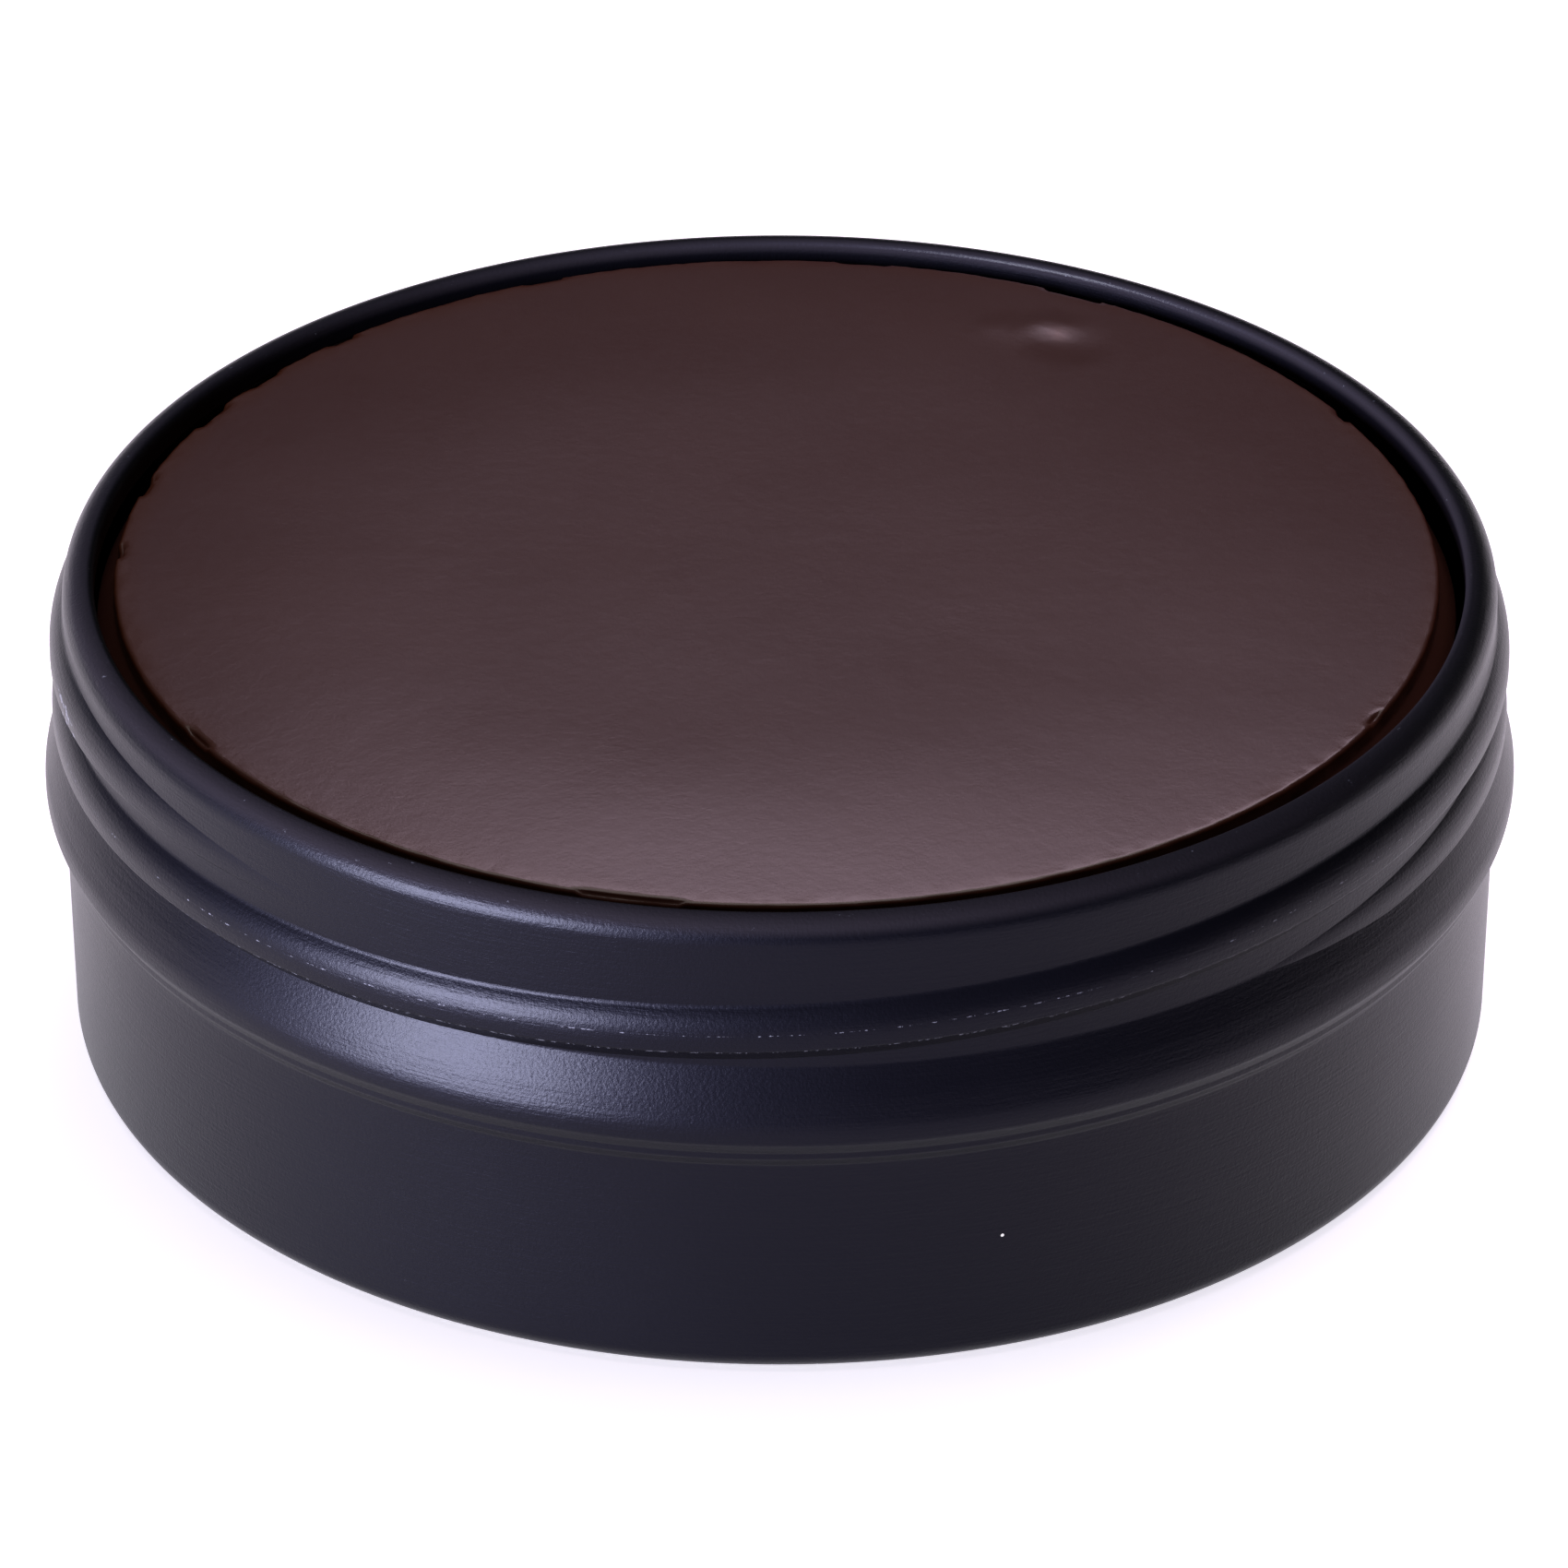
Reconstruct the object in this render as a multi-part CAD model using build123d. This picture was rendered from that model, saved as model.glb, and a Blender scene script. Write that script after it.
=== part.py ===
from build123d import *
import math
import os

# ---------------------------------------------------------------- overall sizes (mm)
CAN_HEIGHT = 28.0            # foot plane to the top of the rolled rim
BEAD_DIAMETER = 83.0         # widest place: the shoulder bead a lid comes down on
SHEET = 0.40                 # aluminium sheet the can is drawn from

# ---------------------------------------------------------------- radial steps in from the bead
NECK_STEP = 1.35             # the screw neck stands in from the bead by this much
BODY_STEP_TOP = 1.05         # body wall under the bead
BODY_STEP_FOOT = 1.23        # body wall at the foot, so the body narrows a little downward

# ---------------------------------------------------------------- rolled rim
RIM_WIDTH = 1.80             # from the outside of the neck in to the lip
RIM_DEPTH = 1.75             # height of the roll
RIM_SHOULDER = 1.40          # rounding from the neck over to the top
RIM_LIP = 0.38               # rounding of the lip, above and below
RIM_TUCK = 0.95              # the tucked-in edge ends this far in from the outside of the neck

# ---------------------------------------------------------------- bead, heights below the rim top
BEAD_START_DROP = 8.65       # the neck ends and the bead's long slope begins
BEAD_CROWN_DROP = 10.3       # the slope grows steeper
BEAD_CROWN_IN = 0.56         # radial distance left to full diameter there
BEAD_SHOULDER_DROP = 11.8    # slope reaches full diameter
BEAD_HEEL_DROP = 12.9        # full diameter ends
BODY_START_DROP = 14.65      # body wall begins
BEAD_FOLD = 0.5              # rounding where the slope leaves the neck
BEAD_CROWN = 6.0             # rounding of the slope
BEAD_SHOULDER = 2.0          # rounding from slope to full diameter
HEEL_ROUND = 0.45            # rounding under the bead, outside and in the corner

# ---------------------------------------------------------------- foot and base panel
FOOT_ROUND = 1.2             # outside rounding from wall to base
FOOT_LAND = 4.4              # width of the flat ring the can stands on
PANEL_RISE = 0.60            # the middle of the base is set up by this much
PANEL_SLOPE = 1.3            # radial width of the step up to the panel

# ---------------------------------------------------------------- thread rolled into the neck
THREAD_DEPTH = 0.80          # crest above the neck
THREAD_LEAD = 3.70           # rise in one turn
THREAD_STEEP_SHARE = 0.66    # share of each turn's rise taken in the steep sector
STEEP_FROM = -50.0           # steep sector, degrees round from the front, seen from above
STEEP_TO = 85.0
THREAD_DROP = 7.95           # crest at the front of the can, before the steep part, below the rim
THREAD_START = -330.0        # lower end of the ridge
THREAD_END = 322.0           # upper end
START_FADE = 58.0            # degrees over which the lower end rises out of the wall
END_FADE = 42.0              # degrees over which the upper end sinks back
FLANK_UP = 0.89              # upper flank, axial
CREST_LAND = 1.45            # blunt crest, axial
FLANK_DOWN = 0.90            # lower flank, axial
SINK = 0.25                  # how far the ridge's root reaches into the sheet
PATH_STEP = 10.0             # degrees between points of the ridge's path

# ---------------------------------------------------------------- wax cake
CAKE_DROP = 0.10             # top of the cake below the rim top
CAKE_RIM_GAP = 1.25          # open gap between cake and lip
CAKE_WALL_GAP = 1.55         # open gap between cake and neck wall, under the rim
CAKE_NECK_DEPTH = 1.5        # depth of the narrower top part, moulded by the rim
CAKE_TAPER_DEPTH = 1.2       # depth of the cone below it
CAKE_EDGE = 0.30             # rounding of the top edge
CAKE_DOME = 0.40             # the top falls by this much to its edge
CAKE_DOME_REACH = 17.0       # radial width of the falling part
CAKE_SHIFT = (-0.20, 0.20)   # the cake has come to rest slightly off centre, left and back

# ---------------------------------------------------------------- wax film left on the wall
FILM = 0.25                  # greatest thickness, standing proud of the sheet
FILM_TOP_DROP = 2.1          # its ragged top edge, just under the rim
FILM_HEIGHT = 1.1            # height of the band

# ---------------------------------------------------------------- derived
bead_radius = BEAD_DIAMETER / 2
neck_radius = bead_radius - NECK_STEP
body_top_radius = bead_radius - BODY_STEP_TOP
body_foot_radius = bead_radius - BODY_STEP_FOOT
lip_radius = neck_radius - RIM_WIDTH
rim_foot = CAN_HEIGHT - RIM_DEPTH
foot_ring_inner = body_foot_radius - FOOT_ROUND - FOOT_LAND
ABOVE = 5.0                  # how far the wall outline runs past its trimmed ends


def rounded_face(points, roundings):
    """Face inside a closed line of points, with each corner rounded by its own radius."""
    face = make_face(Polyline(*points, close=True))
    for point, rounding in zip(points, roundings):
        if rounding > 0:
            corner = face.vertices().sort_by_distance((*point, 0))[0]
            face = fillet(corner, rounding)
    return face


def wall_outline():
    """Outside of the can as one filled half section, run on past the neck and the axis."""
    points = [
        (-ABOVE, PANEL_RISE),
        (foot_ring_inner - PANEL_SLOPE, PANEL_RISE),
        (foot_ring_inner, 0),
        (body_foot_radius, 0),
        (body_top_radius, CAN_HEIGHT - BODY_START_DROP),
        (bead_radius, CAN_HEIGHT - BEAD_HEEL_DROP),
        (bead_radius, CAN_HEIGHT - BEAD_SHOULDER_DROP),
        (bead_radius - BEAD_CROWN_IN, CAN_HEIGHT - BEAD_CROWN_DROP),
        (neck_radius, CAN_HEIGHT - BEAD_START_DROP),
        (neck_radius, CAN_HEIGHT + ABOVE),
        (-ABOVE, CAN_HEIGHT + ABOVE),
    ]
    roundings = [
        0, 0.5, 0.5, FOOT_ROUND, HEEL_ROUND,
        HEEL_ROUND, BEAD_SHOULDER, BEAD_CROWN, BEAD_FOLD, 0, 0,
    ]
    return rounded_face(points, roundings)


def filled(outline, top):
    """Turn the part of a filled half section that lies outside the axis and below top."""
    keep = Rectangle(2 * bead_radius, 2 * top, align=(Align.MIN, Align.CENTER))
    half = Plane.XZ * (outline & keep)
    return revolve(half, axis=Axis.Z)


def crest_height(angle):
    """Height of the ridge's crest at an angle measured round from the front."""
    turn = math.floor((angle - STEEP_FROM) / 360)
    part = min((angle - STEEP_FROM - 360 * turn) / (STEEP_TO - STEEP_FROM), 1)
    eased = part * part * (3 - 2 * part)
    steep = THREAD_LEAD * THREAD_STEEP_SHARE * (turn + eased)
    steady = THREAD_LEAD * (1 - THREAD_STEEP_SHARE) * angle / 360
    return CAN_HEIGHT - THREAD_DROP + steep + steady


def stand_out(angle):
    """Share of the full thread depth reached at an angle, zero at both ends."""
    rise = min((angle - THREAD_START) / START_FADE, (THREAD_END - angle) / END_FADE, 1)
    return rise * rise * (3 - 2 * rise)


def ridge_path(lift):
    """Line along the foot of the crest, moved up by lift."""
    count = round((THREAD_END - THREAD_START) / PATH_STEP)
    points = []
    for i in range(count + 1):
        angle = THREAD_START + (THREAD_END - THREAD_START) * i / count
        around = math.radians(angle - 90)
        radius = neck_radius - THREAD_DEPTH * (1 - stand_out(angle))
        height = crest_height(angle) + lift
        points.append((radius * math.cos(around), radius * math.sin(around), height))
    return Spline(*points)


def ridge_section(root):
    """Section of the ridge, x outward from the neck, y up from the crest."""
    return make_face(Polyline(
        (-root, CREST_LAND + FLANK_UP),
        (0, CREST_LAND + FLANK_UP),
        (THREAD_DEPTH, CREST_LAND),
        (THREAD_DEPTH, 0),
        (0, -FLANK_DOWN),
        (-root, -FLANK_DOWN),
        close=True))


def ridge(section):
    """Sweep a section along the thread, kept upright by a copy of the path above it."""
    path = ridge_path(0)
    start = path @ 0
    outward = Vector(start.X, start.Y, 0)
    place = Plane(origin=start, x_dir=outward, z_dir=outward.cross(Vector(0, 0, 1)))
    return sweep(place * section, path=path, binormal=ridge_path(5))


def rim_roll():
    """Rim rolled inward over the neck's edge, broad outside and tight at the lip."""
    outer_points = [
        (neck_radius, rim_foot),
        (neck_radius, CAN_HEIGHT),
        (lip_radius, CAN_HEIGHT),
        (lip_radius, rim_foot),
    ]
    outer = rounded_face(outer_points, [0, RIM_SHOULDER, RIM_LIP, RIM_LIP])
    tuck_radius = neck_radius - RIM_TUCK
    inner_points = [
        (neck_radius - SHEET, rim_foot - 1),
        (neck_radius - SHEET, CAN_HEIGHT - SHEET),
        (lip_radius + SHEET, CAN_HEIGHT - SHEET),
        (lip_radius + SHEET, rim_foot + SHEET),
        (tuck_radius, rim_foot + SHEET),
        (tuck_radius, rim_foot - 1),
    ]
    hollow_width = RIM_WIDTH - 2 * SHEET
    hollow_round = min(RIM_SHOULDER - SHEET, 0.99 * hollow_width)
    inner = rounded_face(inner_points, [0, hollow_round, 0, 0, 0, 0])
    return revolve(Plane.XZ * (outer - inner), axis=Axis.Z)


def tin_body():
    """Drawn and thread-rolled can, one sheet thick everywhere."""
    outline = wall_outline()
    outside = filled(outline, rim_foot) + ridge(ridge_section(SINK))
    inner_outline = offset(outline, amount=-SHEET, kind=Kind.INTERSECTION)
    inner_section = offset(ridge_section(2 + SHEET), amount=-SHEET, kind=Kind.INTERSECTION)
    inside = filled(inner_outline, CAN_HEIGHT) + ridge(inner_section)
    return outside - inside + rim_roll()


def polish_cake():
    """Wax cake, shrunk from the wall, low-domed, with its top moulded smaller by the rim."""
    floor = PANEL_RISE + SHEET
    top = CAN_HEIGHT - CAKE_DROP
    top_radius = lip_radius - CAKE_RIM_GAP
    wall_radius = neck_radius - SHEET - CAKE_WALL_GAP
    flat_radius = foot_ring_inner - PANEL_SLOPE - 1
    outline = Polyline(
        (0, floor),
        (flat_radius, floor),
        (wall_radius, floor + CAKE_TAPER_DEPTH),
        (wall_radius, top - CAKE_NECK_DEPTH - CAKE_TAPER_DEPTH),
        (top_radius, top - CAKE_NECK_DEPTH),
        (top_radius, top - CAKE_DOME),
        (top_radius - CAKE_DOME_REACH, top),
        (0, top),
        close=True)
    face = make_face(outline)
    edge = face.vertices().sort_by_distance((top_radius, top - CAKE_DOME, 0))[0]
    face = fillet(edge, CAKE_EDGE)
    return Pos(*CAKE_SHIFT, 0) * revolve(Plane.XZ * face, axis=Axis.Z)


def wax_film():
    """Band of wax left on the neck's inner wall under the rim."""
    wall = neck_radius - SHEET
    section = Polyline(
        (wall, CAN_HEIGHT - FILM_TOP_DROP),
        (wall, CAN_HEIGHT - FILM_TOP_DROP - FILM_HEIGHT),
        (wall - FILM / 2, CAN_HEIGHT - FILM_TOP_DROP - FILM_HEIGHT),
        (wall - FILM, CAN_HEIGHT - FILM_TOP_DROP - FILM_HEIGHT / 2),
        (wall - FILM / 2, CAN_HEIGHT - FILM_TOP_DROP),
        close=True)
    return revolve(Plane.XZ * make_face(section), axis=Axis.Z)


os.makedirs("parts", exist_ok=True)
PARTS = {"tin_body": tin_body, "polish_cake": polish_cake, "wax_film": wax_film}
for name, build in PARTS.items():
    solid = build()
    solid.label = name
    export_step(solid, f"parts/{name}.step")
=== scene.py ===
"""An open shoe polish tin: black screw-necked aluminium can, rolled rim, cake of dark brown wax."""

import logging
import math
from dataclasses import dataclass
from enum import Enum
from typing import Callable, NamedTuple, Optional, Sequence

import bpy
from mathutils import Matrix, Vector


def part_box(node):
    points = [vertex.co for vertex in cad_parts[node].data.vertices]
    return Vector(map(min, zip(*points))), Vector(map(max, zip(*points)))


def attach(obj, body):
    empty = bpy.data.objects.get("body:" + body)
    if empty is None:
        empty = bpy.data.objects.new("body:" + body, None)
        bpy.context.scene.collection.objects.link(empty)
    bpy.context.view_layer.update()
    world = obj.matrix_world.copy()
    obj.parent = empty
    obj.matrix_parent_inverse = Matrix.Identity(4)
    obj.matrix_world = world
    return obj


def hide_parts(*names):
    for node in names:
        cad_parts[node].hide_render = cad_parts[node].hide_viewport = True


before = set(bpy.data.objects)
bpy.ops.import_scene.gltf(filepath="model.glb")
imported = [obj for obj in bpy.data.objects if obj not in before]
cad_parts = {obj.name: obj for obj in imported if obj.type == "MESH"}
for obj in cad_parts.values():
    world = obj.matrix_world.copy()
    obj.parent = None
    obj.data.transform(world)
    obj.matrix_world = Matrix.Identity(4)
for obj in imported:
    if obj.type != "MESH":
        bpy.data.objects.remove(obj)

LOG = logging.getLogger("polish_tin")
MM = 0.001
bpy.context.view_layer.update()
BODY = "root"


class Corner(NamedTuple):
    """A corner of a half section: radius, height and rounding, in millimetres."""

    r: float
    z: float
    rounding: float = 0.0


class Tone(Enum):
    """Colours of the tin and its wax, linear."""

    LACQUER = (0.0012, 0.0011, 0.0019)
    LACQUER_WORN = (0.070, 0.068, 0.085)
    DUST = (0.36, 0.34, 0.31)
    # Paler rim colour: a dull wax haze, with a painted reflection of the room over it.
    RIM_HAZE_AND_SHEEN = (0.0085, 0.0070, 0.0090)
    CRUMB = (0.10, 0.065, 0.022)
    WAX = (0.0350, 0.0112, 0.0086)
    WAX_DEEP = (0.0322, 0.0100, 0.0078)
    WAX_EDGE = (0.0350, 0.0088, 0.0030)
    # Painted glow round the blister.
    WAX_PAINTED_GLOW = (0.085, 0.026, 0.014)
    # Painted shade on the cake's side, down in the gap by the wall.
    WAX_SIDE_PAINTED_SHADE = (0.0280, 0.0092, 0.0062)
    WAX_FLECK = (0.22, 0.16, 0.15)
    # Film colours darkened to paint the shade in the gap under the curl.
    FILM_PAINTED_SHADE = (0.022, 0.0095, 0.0035)
    FILM_DARK_PAINTED_SHADE = (0.0040, 0.0022, 0.0016)
    FLOOR = (0.885, 0.855, 0.940)


# ------------------------------------------------------------------ modelling helpers


def clean_start() -> None:
    """Go to object mode with nothing selected."""
    if bpy.context.object is not None and bpy.context.object.mode != "OBJECT":
        bpy.ops.object.mode_set(mode="OBJECT")
    bpy.ops.object.select_all(action="DESELECT")


def pick(piece: bpy.types.Object) -> None:
    """Select one object and make it the active one.

    Args:
        piece: the object to work on.
    """
    clean_start()
    piece.select_set(True)
    bpy.context.view_layer.objects.active = piece


def edit(piece: bpy.types.Object, component: str = "VERT") -> None:
    """Open an object in edit mode with nothing in it selected.

    Args:
        piece: the object to open.
        component: VERT, EDGE or FACE.
    """
    pick(piece)
    bpy.ops.object.mode_set(mode="EDIT")
    bpy.ops.mesh.select_mode(type=component)
    bpy.ops.mesh.select_all(action="DESELECT")


def select_where(piece: bpy.types.Object, test: Callable[[Vector], bool]) -> int:
    """Select the vertices whose place passes a test, and come back in edit mode.

    Args:
        piece: an object that is open in edit mode.
        test: takes a vertex's place and says whether it is wanted.

    Returns:
        How many vertices were selected.
    """
    bpy.ops.object.mode_set(mode="OBJECT")
    wanted = [vertex for vertex in piece.data.vertices if test(vertex.co)]
    for vertex in wanted:
        vertex.select = True
    bpy.ops.object.mode_set(mode="EDIT")
    return len(wanted)


def rounded(corners: Sequence[Corner], degrees: float = 9.0) -> list[Vector]:
    """Follow a half section's corners, with an arc at each rounded one.

    Args:
        corners: the corners in order.
        degrees: turn from one point of an arc to the next.

    Returns:
        Points in the XZ plane, in metres.
    """
    places = [Vector((c.r, 0, c.z)) for c in corners]
    line: list[Vector] = []
    for i, corner in enumerate(corners):
        here = places[i]
        if corner.rounding <= 0 or i in (0, len(corners) - 1):
            line.append(here * MM)
            continue
        back = (places[i - 1] - here).normalized()
        ahead = (places[i + 1] - here).normalized()
        half = back.angle(ahead) / 2
        centre = here + (back + ahead).normalized() * (corner.rounding / math.sin(half))
        start = here + back * (corner.rounding / math.tan(half)) - centre
        finish = here + ahead * (corner.rounding / math.tan(half)) - centre
        sweep = start.angle(finish)
        count = max(2, math.ceil(math.degrees(sweep) / degrees))
        for k in range(count + 1):
            share = k / count
            blend = start * math.sin((1 - share) * sweep) + finish * math.sin(share * sweep)
            arm = blend / math.sin(sweep)
            line.append((centre + arm) * MM)
    return line


def spaced(line: Sequence[Vector], longest: float) -> list[Vector]:
    """Divide the long runs of a line evenly.

    Args:
        line: the points to follow.
        longest: the longest run wanted, in metres.

    Returns:
        The same line with points added on its long runs.
    """
    result = [line[0]]
    for here, there in zip(line, line[1:]):
        count = max(1, math.ceil((there - here).length / longest))
        result.extend(here.lerp(there, k / count) for k in range(1, count + 1))
    return result


def draw_line(name: str, line: Sequence[Vector]) -> bpy.types.Object:
    """Draw a line of vertices by extruding from a single one.

    Args:
        name: name of the new object.
        line: the places of the vertices, in metres.

    Returns:
        The new object, open in edit mode.
    """
    clean_start()
    bpy.ops.mesh.primitive_plane_add(size=MM, location=line[0])
    piece = bpy.context.object
    piece.name = name
    piece.data.name = name
    bpy.ops.object.transform_apply(location=True, rotation=True, scale=True)
    bpy.ops.object.mode_set(mode="EDIT")
    bpy.ops.mesh.select_mode(type="VERT")
    bpy.ops.mesh.select_all(action="SELECT")
    bpy.ops.mesh.merge(type="CENTER")
    for here, there in zip(line, line[1:]):
        bpy.ops.mesh.extrude_vertices_move(TRANSFORM_OT_translate={"value": there - here})
    return piece


def turn_line(piece: bpy.types.Object, steps: int) -> None:
    """Spin the open line once round the tin's axis and close the seam and poles.

    Args:
        piece: the object that holds the line, open in edit mode; not used, as the operators act on the
            object open in edit mode.
        steps: columns round the turn.
    """
    bpy.ops.mesh.select_all(action="SELECT")
    bpy.ops.mesh.spin(steps=steps, angle=2 * math.pi, center=(0, 0, 0), axis=(0, 0, 1))
    bpy.ops.mesh.select_all(action="SELECT")
    bpy.ops.mesh.remove_doubles(threshold=MM * 0.002)
    bpy.ops.mesh.normals_make_consistent(inside=False)
    bpy.ops.object.mode_set(mode="OBJECT")


def apply_modifier(piece: bpy.types.Object, kind: str, **settings: object) -> None:
    """Add a modifier, set it and apply it.

    Args:
        piece: the object to change.
        kind: the modifier's type.
        **settings: the modifier's properties by name.
    """
    pick(piece)
    bpy.ops.object.modifier_add(type=kind)
    modifier = piece.modifiers[-1]
    for key, value in settings.items():
        setattr(modifier, key, value)
    bpy.ops.object.modifier_apply(modifier=modifier.name)


def clouds(name: str, size: float, depth: int = 2) -> bpy.types.Texture:
    """Make a cloud pattern for a Displace modifier.

    Args:
        name: the texture's name.
        size: size of the clouds, in metres.
        depth: finer layers added.

    Returns:
        The texture.
    """
    texture = bpy.data.textures.new(name, "CLOUDS")
    texture.noise_scale = size
    texture.noise_depth = depth
    return texture


def finish_mesh(piece: bpy.types.Object, material: bpy.types.Material, smooth_angle: float) -> None:
    """Smooth a piece's shading, dress it and log it.

    Args:
        piece: the finished object.
        material: its only material.
        smooth_angle: sharpest angle, in degrees, that is still shaded smooth.
    """
    pick(piece)
    bpy.ops.object.shade_smooth_by_angle(angle=math.radians(smooth_angle))
    piece.data.materials.clear()
    piece.data.materials.append(material)
    LOG.info("%s: %d faces", piece.name, len(piece.data.polygons))
    clean_start()


# ------------------------------------------------------------------ node helpers


class NodeSheet:
    """A material's node tree, laid out from left to right."""

    def __init__(self, name: str) -> None:
        """Start a material that holds only its output and its main shader.

        Args:
            name: the material's name.
        """
        self.material = bpy.data.materials.new(name)
        self.material.use_nodes = True
        self.tree = self.material.node_tree
        self.tree.nodes.clear()
        self.output = self.add("ShaderNodeOutputMaterial", column=6)
        self.shader = self.add("ShaderNodeBsdfPrincipled", column=5)
        self.link(self.shader.outputs["BSDF"], self.output.inputs["Surface"])
        self.place = self.add("ShaderNodeTexCoord", column=0).outputs["Object"]

    def add(self, kind: str, column: int = 1, **settings: object) -> bpy.types.Node:
        """Add a node and set its properties.

        Args:
            kind: the node's type.
            column: its column in the layout.
            **settings: the node's properties by name.

        Returns:
            The node.
        """
        node = self.tree.nodes.new(kind)
        node.location = (column * 220, -160 * (len(self.tree.nodes) % 7))
        for key, value in settings.items():
            setattr(node, key, value)
        return node

    def link(self, source: bpy.types.NodeSocket, target: bpy.types.NodeSocket) -> None:
        """Join two sockets.

        Args:
            source: the output to read.
            target: the input to feed.
        """
        self.tree.links.new(source, target)

    def feed(self, target: bpy.types.NodeSocket, value: object) -> None:
        """Link a socket into an input, or set the input to a plain value.

        Args:
            target: the input.
            value: a socket, a number or a colour.
        """
        if isinstance(value, bpy.types.NodeSocket):
            self.link(value, target)
        else:
            target.default_value = value

    def maths(self, operation: str, *values: object, clamp: bool = False) -> bpy.types.NodeSocket:
        """Add a maths node.

        Args:
            operation: its operation.
            *values: its inputs in order, sockets or numbers.
            clamp: keep the result between 0 and 1.

        Returns:
            The result's socket.
        """
        node = self.add("ShaderNodeMath", 3, operation=operation, use_clamp=clamp)
        for target, value in zip(node.inputs, values):
            self.feed(target, value)
        return node.outputs[0]

    def stretch(self, scale: Vector) -> bpy.types.NodeSocket:
        """Scale the pattern's space differently along each axis.

        Args:
            scale: how much finer the pattern gets along each axis.

        Returns:
            The stretched place.
        """
        node = self.add("ShaderNodeMapping", 1)
        node.inputs["Scale"].default_value = scale
        self.link(self.place, node.inputs["Vector"])
        return node.outputs["Vector"]

    def noise(self, scale: float, detail: float = 2.0, rough: float = 0.5,
              place: Optional[bpy.types.NodeSocket] = None) -> bpy.types.NodeSocket:
        """Add a noise pattern.

        Args:
            scale: waves per metre.
            detail: finer layers.
            rough: strength of the finer layers.
            place: the space it is read in, the object's own if left out.

        Returns:
            The noise value's socket.
        """
        node = self.add("ShaderNodeTexNoise", 2)
        node.inputs["Scale"].default_value = scale
        node.inputs["Detail"].default_value = detail
        node.inputs["Roughness"].default_value = rough
        self.link(place or self.place, node.inputs["Vector"])
        return node.outputs["Fac"]

    def specks(self, scale: float, size: float, share: float) -> bpy.types.NodeSocket:
        """Add sparse round specks.

        Args:
            scale: cells per metre.
            size: radius of a speck as a share of its cell.
            share: share of the cells that hold one.

        Returns:
            A mask that is 1 on a speck.
        """
        node = self.add("ShaderNodeTexVoronoi", 2, feature="F1")
        node.inputs["Scale"].default_value = scale
        self.link(self.place, node.inputs["Vector"])
        inside = self.maths("LESS_THAN", node.outputs["Distance"], size)
        pick_one = self.add("ShaderNodeSeparateColor", 3)
        self.link(node.outputs["Color"], pick_one.inputs[0])
        chosen = self.maths("LESS_THAN", pick_one.outputs[0], share)
        return self.maths("MULTIPLY", inside, chosen)

    def ramp(self, value: bpy.types.NodeSocket, low: float, high: float) -> bpy.types.NodeSocket:
        """Turn a range of values into a smooth 0 to 1.

        Args:
            value: the input value.
            low: the value that gives 0.
            high: the value that gives 1.

        Returns:
            The result's socket.
        """
        node = self.add("ShaderNodeMapRange", 3, interpolation_type="SMOOTHSTEP")
        node.inputs["From Min"].default_value = low
        node.inputs["From Max"].default_value = high
        self.link(value, node.inputs["Value"])
        return node.outputs["Result"]

    def blend(self, share: object, first: object, second: object) -> bpy.types.NodeSocket:
        """Mix two colours.

        Args:
            share: how much of the second.
            first: a colour or a socket.
            second: a colour or a socket.

        Returns:
            The mixed colour's socket.
        """
        node = self.add("ShaderNodeMix", 4, data_type="RGBA")
        self.feed(node.inputs["Factor"], share)
        for target, value in ((node.inputs[6], first), (node.inputs[7], second)):
            if isinstance(value, Tone):
                target.default_value = (*value.value, 1)
            else:
                self.feed(target, value)
        return node.outputs[2]

    def bump(self, height: bpy.types.NodeSocket, depth: float,
             normal: Optional[bpy.types.NodeSocket] = None) -> bpy.types.NodeSocket:
        """Add relief.

        Args:
            height: the height pattern.
            depth: its full depth in metres.
            normal: relief that this adds to.

        Returns:
            The normal's socket.
        """
        node = self.add("ShaderNodeBump", 4)
        node.inputs["Distance"].default_value = depth
        self.link(height, node.inputs["Height"])
        if normal is not None:
            self.link(normal, node.inputs["Normal"])
        return node.outputs["Normal"]

    def attribute(self, name: str) -> bpy.types.NodeSocket:
        """Read one of the mesh's own attributes as a number.

        Args:
            name: the attribute's name.

        Returns:
            The attribute's socket.
        """
        return self.add("ShaderNodeAttribute", 1, attribute_name=name).outputs["Fac"]

    def height(self) -> bpy.types.NodeSocket:
        """Height above the floor, in metres.

        Returns:
            The height's socket.
        """
        parts = self.add("ShaderNodeSeparateXYZ", 1)
        self.link(self.place, parts.inputs[0])
        return parts.outputs["Z"]

    def radius(self) -> bpy.types.NodeSocket:
        """Distance from the tin's axis, in metres.

        Returns:
            The distance's socket.
        """
        parts = self.add("ShaderNodeSeparateXYZ", 1)
        self.link(self.place, parts.inputs[0])
        across = self.maths("MULTIPLY", parts.outputs["X"], parts.outputs["X"])
        along = self.maths("MULTIPLY", parts.outputs["Y"], parts.outputs["Y"])
        return self.maths("SQRT", self.maths("ADD", across, along))


# ------------------------------------------------------------------ finishes


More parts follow.
